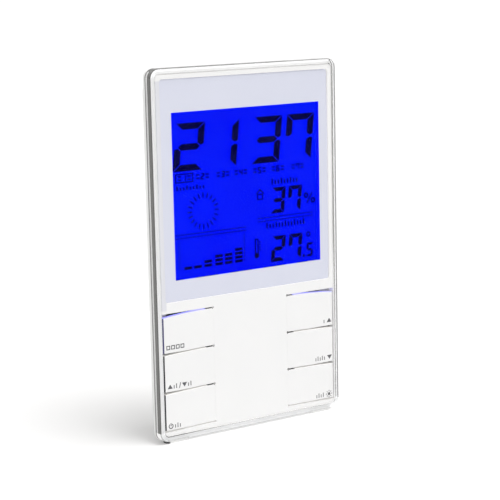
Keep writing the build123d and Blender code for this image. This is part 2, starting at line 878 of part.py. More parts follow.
def named_pieces():
    pieces = {
        "clear_frame": make_clear_frame(),
        "front_plate": make_front_plate(),
        "display_lens": make_display_lens(),
        "lens_border": make_lens_border(),
        "display_front_glass": display_sheet(glass_width, glass_low, glass_front, glass_middle),
        "display_rear_glass": display_sheet(glass_width, rear_glass_low, glass_middle, glass_back),
        "light_guide": display_sheet(guide_width, rear_glass_low, guide_front, guide_back),
        "reflector": display_sheet(guide_width, rear_glass_low, guide_back, reflector_back),
        "backlight_lamps": make_backlight_lamps(),
        "contact_strip": make_contact_strip(),
        "main_board": make_main_board(),
        "processor": make_processor(),
        "crystal": make_crystal(),
        "buzzer": make_buzzer(),
        "humidity_sensor": make_humidity_sensor(),
        "rear_housing": make_rear_housing(),
        "battery_door": make_battery_door(),
        "foot_pin": pin_bar(pin_radius, recess_half + pin_grip),
        "housing_screws": make_housing_screws(),
        "board_screws": make_board_screws(),
    }
    for name, side in SIDES.items():
        for row, level in enumerate(ROWS):
            pieces[f"key_{name}_{level}"] = make_key(side, row)
            pieces[f"switch_body_{name}_{level}"] = make_switch_body(side, row)
            pieces[f"switch_plunger_{name}_{level}"] = make_switch_plunger(side, row)
    upper = bay_v + cell_pitch / 2
    lower = bay_v - cell_pitch / 2
    half = contact_width / 2
    pieces["cell_upper"] = make_cell(-1, upper)
    pieces["cell_lower"] = make_cell(1, lower)
    pieces["contact_left_upper"] = make_contact(-1, upper - half, upper + half, True)
    pieces["contact_left_lower"] = make_contact(-1, lower - half, lower + half, True)
    pieces["contact_link"] = make_contact(1, lower - half, upper + half, False)
    pieces["contact_spring_right"] = make_contact_spring(1, upper)
    pieces["contact_spring_left"] = make_contact_spring(-1, lower)
    return pieces


def main():
    os.makedirs("parts", exist_ok=True)
    for name, piece in named_pieces().items():
        export_step(stood_up(piece), f"parts/{name}.step")
    export_step(make_foot(), "parts/fold_out_foot.step")
    for name, side in SIDES.items():
        export_step(make_pad(side), f"parts/pad_{name}.step")


main()
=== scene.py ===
# %% [markdown]
# # An upright desk clock with thermometer and hygrometer
# The solid model of the clock, with its real sizes and its moving pieces, was made beforehand and
# packed. It is loaded here as a fixed frame: nothing in it is moved or resized. This lesson dresses
# it. Pieces whose shape is already right get a finish made of nodes, and pieces that need softer
# edges, print or glass are built again on top of the frame's own places.

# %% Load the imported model
from math import atan2, cos, degrees, pi, radians, sin, sqrt, tau

import bpy
from mathutils import Matrix, Vector


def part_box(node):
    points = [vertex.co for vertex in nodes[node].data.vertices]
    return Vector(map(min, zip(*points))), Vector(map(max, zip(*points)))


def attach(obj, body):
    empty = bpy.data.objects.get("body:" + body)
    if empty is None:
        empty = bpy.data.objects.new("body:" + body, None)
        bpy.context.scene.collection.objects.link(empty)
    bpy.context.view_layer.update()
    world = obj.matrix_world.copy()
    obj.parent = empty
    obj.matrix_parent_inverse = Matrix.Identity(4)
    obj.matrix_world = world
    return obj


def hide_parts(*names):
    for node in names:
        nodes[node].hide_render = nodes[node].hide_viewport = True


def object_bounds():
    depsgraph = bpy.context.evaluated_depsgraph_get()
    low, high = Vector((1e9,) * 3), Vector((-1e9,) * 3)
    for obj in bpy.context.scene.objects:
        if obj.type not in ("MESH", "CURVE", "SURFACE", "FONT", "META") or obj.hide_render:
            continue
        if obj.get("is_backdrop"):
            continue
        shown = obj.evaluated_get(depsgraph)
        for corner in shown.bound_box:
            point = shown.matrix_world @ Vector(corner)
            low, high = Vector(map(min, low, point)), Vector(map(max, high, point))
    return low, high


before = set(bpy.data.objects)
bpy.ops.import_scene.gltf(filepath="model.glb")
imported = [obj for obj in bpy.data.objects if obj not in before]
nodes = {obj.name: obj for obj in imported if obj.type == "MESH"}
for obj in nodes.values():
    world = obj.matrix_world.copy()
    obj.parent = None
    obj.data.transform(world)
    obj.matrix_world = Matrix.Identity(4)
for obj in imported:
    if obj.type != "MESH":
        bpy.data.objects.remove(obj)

cad_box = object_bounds()

# %% [markdown]
# ## A space that leans with the case
# The case leans back by two degrees, so nothing on its face lies along the world's axes. It is far
# easier to draw each piece as if the clock lay on its back: x runs to the right, y runs up the face
# from its lower edge, and z points out of the face, so a depth of 2 mm is z = -2 mm. One matrix
# then stands every piece up. Its place is read from a corner of the display's front glass, whose
# place in the case is known, so a drawing error would show at once as a step at the display.

# %% The case's own space
MM = 0.001


def mm(*lengths):
    """Several lengths in millimetres, turned into the frame's metres."""
    return [MM * length for length in lengths]


lean = radians(2.1)
case_width, case_height = mm(75, 125)
half_width = case_width / 2
glass_low, glass_front, glass_back = mm(50.9, 2.55, 3.55)
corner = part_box("display_front_glass")[0]
case_y = corner[1] - glass_low * sin(lean) - glass_front * cos(lean)
case_z = corner[2] - glass_low * cos(lean) + glass_back * sin(lean)
case_space = Matrix.Translation((0, case_y, case_z)) @ Matrix.Rotation(radians(90) - lean, 4, "X")
print("the case's lower front edge is at y", round(case_y / MM, 2), "mm and z", round(case_z / MM, 2), "mm")

# %% [markdown]
# ## Making a mesh from points and faces
# Nearly every piece below is made by a short function that works out its points, so one helper
# turns points and faces into an object. It stands the piece up, gives it a finish, lets it ride on
# the right moving body, and says which solid of the frame it stands for. Faces are shaded smooth,
# with creases kept wherever two faces meet at more than 35 degrees, as a polished moulding looks.
# A second helper gives single faces another finish, where a piece isn't the same all over.

# %% A helper that adds a piece
crease = radians(35)


def put_in_scene(name, data):
    thing = bpy.data.objects.new(name, data)
    bpy.context.scene.collection.objects.link(thing)
    return thing


def add_piece(name, points, faces, finish, body="case", stands_for=(), slot=None):
    """Makes one piece from case-space points; stands_for names the solids that it replaces."""
    mesh = bpy.data.meshes.new(name)
    mesh.from_pydata([Vector(p) for p in points], [], faces)
    mesh.validate()
    mesh.polygons.foreach_set("use_smooth", [True] * len(mesh.polygons))
    mesh.set_sharp_from_angle(angle=crease)
    mesh.materials.append(finish)
    piece = put_in_scene(name, mesh)
    piece.matrix_world = case_space
    bpy.context.view_layer.update()
    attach(piece, body)
    if stands_for:
        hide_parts(*stands_for)
    return piece


def paint(piece, finishes, number_of):
    """Adds finishes to a piece, and gives each face the one with its number; 0 is the first finish."""
    for finish in finishes:
        piece.data.materials.append(finish)
    for face in piece.data.polygons:
        face.material_index = int(number_of(face))


# %% [markdown]
# ## Finishes made of nodes
# A flat colour never looks like a real surface. Moulded plastic varies a little in colour and gloss
# from place to place, and its skin has a faint ripple that bends reflections. Each finish starts
# from the same small recipe: a noise that shifts the colour slightly, a second one that shifts the
# roughness, and a third, much finer, that feeds a bump. A bevel node rounds the reflections along
# hard edges, which saves modelling hundreds of tiny radii. Two short helpers keep the recipe
# readable: one feeds a node's inputs with numbers, colours or other nodes, and one adds a node.

# %% The plastic recipe
noise_low, noise_high, noise_detail = 0.3, 0.7, 3.0
colour_scale, gloss_scale = 60, 180


def new_finish(name):
    finish = bpy.data.materials.new(name)
    finish.use_nodes = True
    tree = finish.node_tree
    return finish, tree, tree.nodes["Principled BSDF"]


def feed_all(node, inputs):
    """Gives each named input a plain number, a colour or another node's output."""
    for name, value in inputs.items():
        if isinstance(value, bpy.types.NodeSocket):
            node.id_data.links.new(value, node.inputs[name])
        else:
            node.inputs[name].default_value = (*value, 1) if isinstance(value, tuple) else value


def add_node(tree, kind, output, inputs, **settings):
    """Adds a node with its settings and inputs, and returns one of its outputs."""
    node = tree.nodes.new("ShaderNode" + kind)
    for name, value in settings.items():
        setattr(node, name, value)
    feed_all(node, inputs)
    return node.outputs[output]


def calculated(tree, operation, *values):
    return add_node(tree, "Math", "Value", dict(enumerate(values)), operation=operation)


def mixed(tree, factor, first, second):
    """A colour that goes from the first to the second as the factor goes from 0 to 1."""
    return add_node(tree, "Mix", "Result", {"Factor": factor, "A": first, "B": second}, data_type="RGBA")


def ranged(tree, source, start, end, low=0.0, high=1.0):
    """Takes a value from one range to another, and stops at the range's ends."""
    return add_node(tree, "MapRange", "Result", {"Value": source, "From Min": start, "From Max": end,
                                                 "To Min": low, "To Max": high})


def object_place(tree):
    """A point's place in the object's own metres, so a pattern keeps its size on every piece."""
    return add_node(tree, "TexCoord", "Object", {})


def object_axis(tree, axis):
    return add_node(tree, "SeparateXYZ", axis, {"Vector": object_place(tree)})


def noise(tree, scale):
    return add_node(tree, "TexNoise", "Fac", {"Scale": scale, "Detail": noise_detail,
                                              "Vector": object_place(tree)})


def noise_between(tree, scale, low, high):
    """The noise's middle range, taken to another range."""
    return ranged(tree, noise(tree, scale), noise_low, noise_high, low, high)


def two_tone(tree, scale, first, second):
    """A colour that wanders between two near tones."""
    return mixed(tree, noise_between(tree, scale, 0, 1), first, second)


def repainted(finish, mask, colour):
    """Gives a finish another colour as far as a mask says."""
    tree = finish.node_tree
    shader = tree.nodes["Principled BSDF"]
    before = shader.inputs["Base Color"].links[0].from_socket
    feed_all(shader, {"Base Color": mixed(tree, mask, before, colour)})
    return finish


def moulded(name, first, second, gloss_range, ripple_scale, ripple_height, edge=0.12 * MM, metal=0.0):
    """Two near tones, a range of gloss, and a ripple of a given scale and height; edges may be rounded."""
    finish, tree, shader = new_finish(name)
    bump = {"Strength": 1.0, "Distance": ripple_height, "Height": noise(tree, ripple_scale)}
    if edge:
        bump["Normal"] = add_node(tree, "Bevel", "Normal", {"Radius": edge}, samples=4)
    feed_all(shader, {"Metallic": metal, "Base Color": two_tone(tree, colour_scale, first, second),
                      "Roughness": noise_between(tree, gloss_scale, *gloss_range),
                      "Normal": add_node(tree, "Bump", "Normal", bump)})
    return finish


gloss_look = ((0.77, 0.77, 0.765), (0.783, 0.781, 0.775), (0.32, 0.4), 500, 0.002 * MM, 0)
satin_look = ((0.84, 0.84, 0.83), (0.88, 0.88, 0.87), (0.42, 0.52), 4000, 0.012 * MM)
gloss_white = moulded("gloss_white_moulding", *gloss_look)
satin_white = moulded("satin_white_moulding", *satin_look)
black_resin = moulded("black_resin", (0.012, 0.012, 0.014), (0.03, 0.03, 0.032), (0.28, 0.4), 900, 0.01 * MM)
soft_rubber = moulded("soft_rubber", (0.10, 0.10, 0.105), (0.14, 0.14, 0.145), (0.6, 0.75), 3000, 0.01 * MM)
board_green = moulded("board_green", (0.01, 0.10, 0.04), (0.015, 0.14, 0.055), (0.3, 0.42), 1500, 0.006 * MM)
plated_steel = moulded("plated_steel", (0.62, 0.61, 0.58), (0.70, 0.69, 0.66), (0.22, 0.36), 2500, 0.003 * MM,
                       metal=1.0)
pale_nylon = moulded("pale_nylon", (0.62, 0.60, 0.55), (0.68, 0.66, 0.61), (0.4, 0.5), 2000, 0.006 * MM)
white_film = moulded("white_film", (0.85, 0.85, 0.85), (0.9, 0.9, 0.9), (0.35, 0.45), 1500, 0.002 * MM)
print("finishes so far:", len(bpy.data.materials))

# %% [markdown]
# ## Clear acrylic
# The frame round the face and the display's lens are clear. Real refraction is what makes a clear
# edge look bright in one place and dark in another, so the frame's shader transmits light with
# acrylic's own refractive index of 1.49. The real frame's sides also lie in shade and mirror its own
# walls inside it, as grey and dark lines along its edges. Tinted finishes paint those lines in: they
# are painted shade and painted reflections.
# The lens and the display's glass have an index of 1.09 and 1.04: the real ones have a coating that
# takes most reflections away, which is why the blue stays so deep. Rays that only cast a shadow or
# gather soft light go straight through, or a clear piece would darken the white plastic behind it.

# %% Clear finishes
let_through, clear_scale, haze_scale, haze_step = (0.97, 0.97, 0.97), 40, 300, 0.01


def clear_plastic(name, tint, haze=0.03, index=1.49, shine=1.0):
    """Clear plastic; less shine makes what it mirrors dimmer."""
    finish, tree, shader = new_finish(name)
    feed_all(shader, {"Transmission Weight": 1.0, "IOR": index, "Specular Tint": (shine, shine, shine),
                      "Base Color": two_tone(tree, clear_scale, tint, tuple(0.985 * c for c in tint)),
                      "Roughness": noise_between(tree, haze_scale, haze, haze + haze_step)})
    through = add_node(tree, "BsdfTransparent", "BSDF", {"Color": let_through})
    rays = tree.nodes.new("ShaderNodeLightPath").outputs
    either = calculated(tree, "MAXIMUM", rays["Is Shadow Ray"], rays["Is Diffuse Ray"])
    surface = add_node(tree, "MixShader", "Shader", {0: either, 1: shader.outputs["BSDF"], 2: through})
    feed_all(tree.nodes["Material Output"], {"Surface": surface})
    return finish


def fading(finish, axis, start, end, last):
    """Lets a finish's colour fade to another along one of the object's axes."""
    tree = finish.node_tree
    return repainted(finish, ranged(tree, object_axis(tree, axis), start, end), last)


clear_acrylic = clear_plastic("clear_acrylic", (0.97, 0.98, 0.985), haze=0.01)
# Tinted copies of the clear plastic below are painted shade and painted reflections for the frame's strips.
painted_dark_edge = clear_plastic("painted_dark_edge", (0.03, 0.03, 0.028), shine=0.3)
grey_edge = clear_plastic("grey_edge", (0.34, 0.34, 0.335), shine=0.6)
pale_edge = clear_plastic("pale_edge", (0.6, 0.6, 0.595), shine=0.8)
# Painted grey line for the right side, dark at the top and fading to pale towards the lower side.
right_edge = fading(clear_plastic("right_edge", (0.26, 0.26, 0.255), shine=0.6),
                    "Y", 62 * MM, 40 * MM, (0.9, 0.9, 0.9))
# Painted shade on the lower chamfer: darkest at the left, paler grey towards the right.
low_edge = fading(clear_plastic("low_edge", (0.03, 0.03, 0.03), shine=0.3),
                  "X", -30 * MM, -5 * MM, (0.5, 0.5, 0.5))
coated_lens = clear_plastic("coated_lens", (0.99, 0.992, 0.996), haze=0.0, index=1.09)
inner_glass = clear_plastic("inner_glass", (0.99, 0.99, 1.0), haze=0.0, index=1.04)
print("finishes so far, with eight clear ones:", len(bpy.data.materials))

# %% [markdown]
# ## Rounded outlines and swept edges
# The frame, the lens and the print are all rounded rectangles that differ only in size, so one
# function draws the outline. Sweeping a section round it is then a matter of drawing the outline
# again at each step of the section, drawn in and set back as the section says, and joining
# neighbours with four-sided faces. That gives true round edges with very few points.

# %% Outlines and sweeps
corner_steps = 8


def round_about(x, y, radius, angle):
    return x + radius * cos(angle), y + radius * sin(angle)


def rounded_outline(low_x, high_x, low_y, high_y, radius):
    """Points round a rectangle with round corners, against the clock from the lower right."""
    centres = [(high_x - radius, low_y + radius, -90), (high_x - radius, high_y - radius, 0),
               (low_x + radius, high_y - radius, 90), (low_x + radius, low_y + radius, 180)]
    return [round_about(x, y, radius, radians(start + 90 * i / corner_steps))
            for x, y, start in centres for i in range(corner_steps + 1)]


def quarter_round(radius, steps=4):
    """Inset and depth along a rounded edge, from the front to the side."""
    angles = [radians(90 * i / steps) for i in range(steps + 1)]
    return [(radius * (1 - sin(a)), radius * (1 - cos(a))) for a in angles]


def set_back(outline, depth):
    """A flat outline's points at a depth behind the face."""
    return [(x, y, -depth) for x, y in outline]


def swept(outlines):
    """Joins outlines of equal count, each a list of 3-D points, into a skin."""
    count = len(outlines[0])
    points = [p for outline in outlines for p in outline]
    faces = []
    for first in range(0, count * (len(outlines) - 1), count):
        for i in range(count):
            j = (i + 1) % count
            faces.append((first + i, first + count + i, first + count + j, first + j))
    return points, faces


def stacked(outlines):
    """The same, closed at both ends with one many-sided face each."""
    points, faces = swept(outlines)
    low, last = range(len(outlines[0])), range(len(points) - len(outlines[0]), len(points))
    return points, faces + [tuple(low), tuple(reversed(last))]


def face_ring(inset, radius, depth):
    """The case's outline drawn in by an inset, at a depth behind the face."""
    edges = inset - half_width, half_width - inset, inset, case_height - inset
    return set_back(rounded_outline(*edges, radius), depth)


# %% [markdown]
# ## The clear frame
# The real frame is one clear moulding that runs round the whole face. Its front outer edge is
# rounded, which catches a bright line of light, and its inner edge has a fine chamfer. The section
# is drawn as pairs of inset and depth, going once round the section and back to its start. Each
# strip of it has a name, and a table says which finish the strip has on each side. The tints are
# painted shade and painted reflections that differ from side to side: the left and the top get dark
# bands, the right thin grey lines, and the lower side hardly more than white. The white backing
# behind the clear strips has a faint painted glow, stronger on the lower side.

# %% The clear frame
rim_width, rim_depth, outer_radius, inner_radius = mm(1.88, 3.18, 3.2, 1.42)
edge_round, back_chamfer, inner_chamfer = mm(0.45, 0.25, 0.25)
dark_band_end, line_start = mm(1.95, 2.4)
lower_side_end, round_steps = 3 * MM, 6
support = 0.04 * MM


def frame_section():
    """Inset, depth and name of the strip that follows, going once round the frame's section."""
    section = [(rim_width, inner_chamfer, "chamfer"), (rim_width - inner_chamfer, 0, "inner front"),
               (rim_width - inner_chamfer - support, 0, "inner front"), (0.5 * rim_width, 0, "front"),
               (edge_round + support, 0, "front")]
    for i, (inset, depth) in enumerate(quarter_round(edge_round, round_steps)[:-1]):
        section.append((inset, depth, "front" if i < 2 else "round"))
    section += [(0, edge_round, "wall"), (0, edge_round + support, "wall"), (0, dark_band_end, "gap"),
                (0, line_start, "line"), (0, rim_depth - back_chamfer, "line"),
                (back_chamfer, rim_depth, "back"), (rim_width, rim_depth, "inner wall")]
    return section + section[:1]


def corner_radius_at(inset):
    way = min(inset / rim_width, 1)
    return outer_radius + way * (inner_radius - outer_radius)


def lit_white(name, glow_strength, first, second, glow=(1, 1, 1)):
    """White plastic with a faint glow of its own, which is painted light."""
    finish = moulded(name, first, second, (0.5, 0.6), 800, 0.002 * MM, 0)
    shader = finish.node_tree.nodes["Principled BSDF"]
    feed_all(shader, {"Emission Color": glow, "Emission Strength": glow_strength})
    return finish


backing = ((0.84, 0.84, 0.84), (0.87, 0.87, 0.87))
# Tinted strips are painted shade and painted reflections; the white backings have a faint painted glow,
# stronger on the lower side.
frame_finishes = {
    "clear": clear_acrylic, "dark": painted_dark_edge, "grey": grey_edge, "pale": pale_edge,
    "backed": lit_white("white_backing", 0.09, *backing),
    "bright": lit_white("bright_backing", 0.16, *backing),
    # The printed strip on the right side's outer wall is a painted dark line, not print.
    "printed": lit_white("painted_edge_line", 0.0, (0.36, 0.36, 0.36), (0.40, 0.40, 0.40)),
    "right": right_edge, "low": low_edge,
}
every_side = {"back": "backed", "inner wall": "backed"}
each_side = {
    "left": {"chamfer": "grey", "round": "dark", "wall": "dark", "gap": "pale", "line": "grey"},
    "top": {"chamfer": "grey", "inner front": "pale", "round": "dark", "wall": "dark", "gap": "dark",
            "line": "dark"},
    "right": {"chamfer": "right", "wall": "printed", "line": "pale"},
    "bottom": {"chamfer": "low", "round": "grey", "wall": "bright", "gap": "bright", "line": "bright",
               "inner wall": "bright"},
}


def side_of(place):
    """The frame's side that a point belongs to; a corner at the top is shared by two sides."""
    across = abs(place.x) - (half_width - outer_radius)
    above = place.y - (case_height - outer_radius)
    if place.y < lower_side_end:
        return "bottom"
    if above > max(across, 0):
        return "top"
    return "right" if place.x > 0 else "left"


def strip_finish(face):
    strip = section[face.index // len(rings[0])][2]
    look = each_side[side_of(face.center)].get(strip, every_side.get(strip, "clear"))
    return list(frame_finishes).index(look)


section = frame_section()
rings = [face_ring(inset, corner_radius_at(inset), depth) for inset, depth, strip in section]
points, faces = swept(rings)
clear_frame = add_piece("clear_frame_ring", points, faces, clear_acrylic,
                        stands_for=["clear_frame"], slot="clear_acrylic")
paint(clear_frame, list(frame_finishes.values())[1:], strip_finish)
print("the frame has", len(faces), "faces in", len(section) - 1, "strips")

# %% [markdown]
# ## Finishes for the solid pieces
# These solids already have their true shape, so they only need the right finish. Their own material
# slots are filled, one finish to a family of pieces. Three finishes change from place to place: the
# housing has painted shade in the seam behind the clear frame, the plate has painted light, a warm
# glow on its thin cut walls and the display's blue in its opening, and painted shade beside the
# lens, and one pad has painted shade at its left end. A mask finds such a place. It is one within a
# range and nothing outside it, along one of the object's axes or in the depth behind the face, and
# masks are multiplied to find a block.

# %% Dress the solids
far, soft_edge = 1.0, 0.5 * MM
lens_pocket_low = 46 * MM


def depth_in_case(tree):
    """How far behind the face's plane a point lies, in millimetres, from its place in the model."""
    into_case = Vector((0, cos(lean) / MM, -sin(lean) / MM))
    face_plane = (case_y * cos(lean) - case_z * sin(lean)) / MM
    vectors = {0: object_place(tree), 1: into_case}
    along = add_node(tree, "VectorMath", "Value", vectors, operation="DOT_PRODUCT")
    return calculated(tree, "SUBTRACT", along, face_plane)


def within(tree, *ranges):
    """One inside a block and nothing outside it; a range is a source, its two ends and their softness."""
    mask = 1.0
    for source, low, high, soft in ranges:
        for start, end in ((low - soft, low), (high + soft, high)):
            mask = calculated(tree, "MULTIPLY", mask, ranged(tree, source, start, end))
    return mask


def seamed():
    """The satin finish with painted shade in the seam behind the clear frame."""
    finish = moulded("satin_white_painted_seam_shade", *satin_look)
    tree = finish.node_tree
    return repainted(finish, within(tree, (depth_in_case(tree), -9, 3.3, 0.3)), (0.16, 0.16, 0.155))


def thin_walled():
    """The gloss finish with painted light on its cut walls and in the display's opening, and painted shade
    beside the lens.
    """
    finish = moulded("gloss_white_plate", *gloss_look)
    tree = finish.node_tree
    x, z, depth = object_axis(tree, "X"), object_axis(tree, "Z"), depth_in_case(tree)
    # Painted light: a warm glow on the slit and pocket walls, and a blue glow over a dark base in the
    # display's opening.
    slit_walls = within(tree, (z, 0, 45 * MM, soft_edge), (depth, 0.6, 9, 0.15))
    pocket_walls = within(tree, (z, lens_pocket_low, far, soft_edge), (depth, 0.5, 1.5, 0.05))
    opening = within(tree, (x, *mm(-31.6, 31.6, 0.2)), (z, *mm(53.5, 112.5, 0.2)), (depth, 1.58, 9, 0.03))
    # Painted shade on the strip of plate left of the lens.
    shade_beside_lens = within(tree, (x, -far, -33.9 * MM, soft_edge), (z, lens_pocket_low, 121.5 * MM, soft_edge))
    cut_walls = calculated(tree, "MULTIPLY_ADD", pocket_walls, 1.2, slit_walls)
    feed_all(tree.nodes["Principled BSDF"], {
        "Emission Strength": calculated(tree, "MULTIPLY_ADD", cut_walls, 0.28, opening),
        "Emission Color": mixed(tree, opening, (1, 0.97, 0.94), (0.0, 0.004, 0.97))})
    repainted(finish, shade_beside_lens, (0.65, 0.655, 0.69))
    return repainted(finish, opening, (0.0, 0.0, 0.02))


def scuffed_rubber():
    """The pads' rubber, with painted shade at the left end."""
    finish = moulded("scuffed_rubber", (0.82, 0.82, 0.81), (0.86, 0.86, 0.85), (0.6, 0.7), 3000, 0.008 * MM)
    tree = finish.node_tree
    painted_shade_end = within(tree, (object_axis(tree, "X"), -far, -33.7 * MM, soft_edge))
    return repainted(finish, painted_shade_end, (0.05, 0.05, 0.05))


plain_contacts = [n for n in nodes if n.startswith("contact_") and n.split("_")[1] not in ("strip", "spring")]
families = {
    thin_walled(): ["front_plate"],
    seamed(): ["rear_housing"],
    satin_white: ["battery_door", "fold_out_foot", "humidity_sensor"],
    black_resin: ["processor", "buzzer"] + [n for n in nodes if n.startswith("switch_body")],
    pale_nylon: [n for n in nodes if n.startswith("switch_plunger")],
    soft_rubber: ["contact_strip"],
    scuffed_rubber(): ["pad_left", "pad_right"],
    board_green: ["main_board"],
    plated_steel: ["foot_pin", "crystal"] + plain_contacts,
    white_film: ["reflector", "light_guide"],
}


def dress(node, finish):
    mesh = nodes[node].data
    mesh.materials.clear()
    mesh.materials.append(finish)


for finish, names in families.items():
    for name in names:
        dress(name, finish)
print("dressed", sum(len(names) for names in families.values()), "solids")

# %% [markdown]
# ## The keys
# Each key is a tongue of the front plate, cut free by two slits and bent where it joins the plate.
# The slits are level at their inner ends and droop by 0.8 mm towards the case's edge, and a small
# round hole ends each one so that the plastic doesn't tear. A box with bevelled edges would lose
# all of that, so a key is swept: its outline is worked out from the two slits' arcs, drawn again a
# little smaller at each step of the rounded front edge, and closed front and back. At its root it
# has no rounding, since on the real plate there is no edge. The two upper keys' top edges fall away
# by another 0.4 mm, which opens their slit into the wedge that the back light shines through.

# %% The keys' outline
SIDES = {"left": -1, "right": 1}
ROWS = ["upper", "middle", "lower"]
plate_front, key_back = mm(0.3, 1.5)
key_root, key_end, slit_top, key_pitch = mm(15.22, 35.05, 43.7, 13.28)
slit_half, slit_drop, slit_length, slit_hole = mm(0.18, 0.8, 21.4, 0.4)
hole_u, upper_fall, key_round = mm(15.45, 0.42, 0.16)
near_root, near_root_columns, far_columns = 0.06 * MM, 12, 16
arc_radius = (slit_length ** 2 + slit_drop ** 2) / (2 * slit_drop)


def slit_line(row, u):
    """Height of a slit's middle line at a distance from the case's middle."""
    run = u - key_root
    return slit_top - row * key_pitch - arc_radius + sqrt(arc_radius ** 2 - run ** 2)


def hole_half(u):
    """Half the height of the slit's end hole there, and nothing beside it."""
    return sqrt(max(slit_hole ** 2 - (u - hole_u) ** 2, 0))


def key_ring(side, row, inset, depth):
    """One key's outline, drawn in by an inset, at a depth behind the face."""
    columns = [key_root + near_root * i for i in range(near_root_columns)]
    reach = key_end - inset - columns[-1]
    columns += [columns[-1] + reach * i / far_columns for i in range(1, far_columns + 1)]
    fall = upper_fall if row == 0 else 0
    top_slit, low_slit = slit_top - row * key_pitch, slit_top - (row + 1) * key_pitch
    top = [(u, min(slit_line(row, u) - slit_half, top_slit - hole_half(u)) - inset
            - fall * ((u - key_root) / (key_end - key_root)) ** 2) for u in columns]
    low = [(u, max(slit_line(row + 1, u) + slit_half, low_slit + hole_half(u)) + inset) for u in columns]
    outline = low + top[::-1]
    if side < 0:
        outline = [(-u, v) for u, v in outline[::-1]]
    return set_back(outline, depth)


print("each slit is an arc of", round(arc_radius / MM), "mm radius")

# %% [markdown]
# ## A ridge and a cross behind each key
# Behind its front a tongue has a ridge round its edge, which keeps it stiff, and a cross-shaped
# post that pushes the switch. Both are out of sight until the clock is taken apart, but an exported
# model is looked at from all sides, so they are swept in the same way and joined to the key's mesh.
# The walls of the slits get finishes of their own, painted light and painted shade: the upper ones
# have a blue painted glow for the back light that shines through, the others a faint white painted
# glow, each has painted shade where the slit ends in a hole, and the left keys' outer ends are
# painted dark, with a faint blue glow on the upper key.

# %% The keys
post_u, post_end, post_half, post_rib = mm(24.5, 2.47, 1.3, 0.45)
ridge_width, ridge_depth, ridge_gap = mm(0.9, 0.8, 0.01)


def cross_ring(u, v, depth):
    a, b = post_half, post_rib
    turn = [(a, -b), (a, b), (b, b), (b, a), (-b, a), (-b, b),
            (-a, b), (-a, -b), (-b, -b), (-b, -a), (b, -a), (b, -b)]
    return set_back([(u + x, v + y) for x, y in turn], depth)


def joined(*skins):
    """Several skins in one list of points and faces."""
    points, faces = [], []
    for more_points, more_faces in skins:
        faces += [tuple(i + len(points) for i in face) for face in more_faces]
        points += more_points
    return points, faces


def key_skin(side, row):
    rings = [key_ring(side, row, key_round + support, plate_front)]
    rings += [key_ring(side, row, inset, plate_front + back) for inset, back in quarter_round(key_round)]
    rings.append(key_ring(side, row, 0, key_back))
    ridge_steps = [(ridge_gap, 0), (ridge_gap, ridge_depth), (ridge_width, ridge_depth), (ridge_width, 0),
                   (ridge_gap, 0)]
    ridge = swept([key_ring(side, row, inset, key_back + more) for inset, more in ridge_steps])
    v = slit_top - (row + 0.5) * key_pitch
    post = [cross_ring(side * post_u, v, depth) for depth in (key_back, post_end)]
    return joined(stacked(rings), ridge, stacked(post))


# Painted light and shade on the slit walls: blue glows on the upper keys, a faint white glow on the others,
# and dark ends that are painted shade.
lit_edge = lit_white("lit_slit_edge", 0.8, (0.42, 0.42, 0.66), (0.48, 0.48, 0.7), glow=(0.22, 0.22, 0.85))
lit_round = lit_white("lit_slit_round", 0.22, (0.6, 0.6, 0.76), (0.66, 0.66, 0.8), glow=(0.5, 0.5, 0.95))
faint_glow_edge = lit_white("faint_glow_slit_edge", 0.15, (0.75, 0.74, 0.72), (0.8, 0.79, 0.77), glow=(1.0, 0.96, 0.92))
dim_end = moulded("shaded_key_end", (0.05, 0.05, 0.06), (0.08, 0.08, 0.09), (0.5, 0.6), 900, 0.002 * MM, 0)
blue_end = lit_white("lit_key_end", 0.2, (0.06, 0.06, 0.09), (0.09, 0.09, 0.12), glow=(0.12, 0.11, 0.5))
TOP_WALL, LEFT_END, HOLE_END, TOP_ROUND = 1, 2, 3, 4
shaded_part = [3.0 * MM, 3.2 * MM, 3.2 * MM]


def wall_finish(face, row):
    """The number of the finish for one of a key's faces."""
    from_root = abs(face.center.x) - key_root
    if face.normal.y > 0.8 and from_root > 0:
        return TOP_WALL if from_root > shaded_part[row] else HOLE_END
    if row == 0 and face.normal.y > 0.3 and from_root > shaded_part[row]:
        return TOP_ROUND
    return LEFT_END if face.normal.x < -0.8 and face.center.x < -30 * MM else 0


for side_name, side in SIDES.items():
    for row, row_name in enumerate(ROWS):
        name = "key_" + side_name + "_" + row_name
        key = add_piece(name + "_tongue", *key_skin(side, row), gloss_white, body=name,
                        stands_for=[name], slot="white_gloss")
        top_and_end = [lit_edge, blue_end] if row == 0 else [faint_glow_edge, dim_end]
        paint(key, top_and_end + [dim_end, lit_round], lambda face: wall_finish(face, row))
print("six keys, each", round((key_end - key_root) / MM, 1), "mm long")

# %% [markdown]
# ## The display's glow
# The display is a sandwich: two thin glasses with the picture between them, in front of a light
# guide lit by blue lamps at its lower edge. The eye sees the rear glass as an even, very saturated
# blue. It is an emission with a faint noise in it, and it has no gloss of its own, because the
# front glass in front of it carries the reflections. The dark ink of the display's picture is made
# by the same function, as a weak light: black ink would turn grey under the studio's light.

# %% The glowing glass
def glow_finish(name, first, second, strength, scale=25, roughness=0.4):
    """A surface that is seen by its own light alone."""
    finish, tree, shader = new_finish(name)
    feed_all(shader, {"Base Color": (0.0, 0.0, 0.02), "Roughness": roughness, "Specular IOR Level": 0.0,
                      "Emission Strength": strength, "Emission Color": two_tone(tree, scale, first, second)})
    return finish


dress("display_rear_glass", glow_finish("display_glow", (0.0, 0.002, 0.93), (0.0, 0.008, 1.0), 1.0))
dress("backlight_lamps", glow_finish("lamp_glow", (0.02, 0.04, 0.9), (0.05, 0.08, 1.0), 2.0))
print("lit: the rear glass and the lamps of the back light")

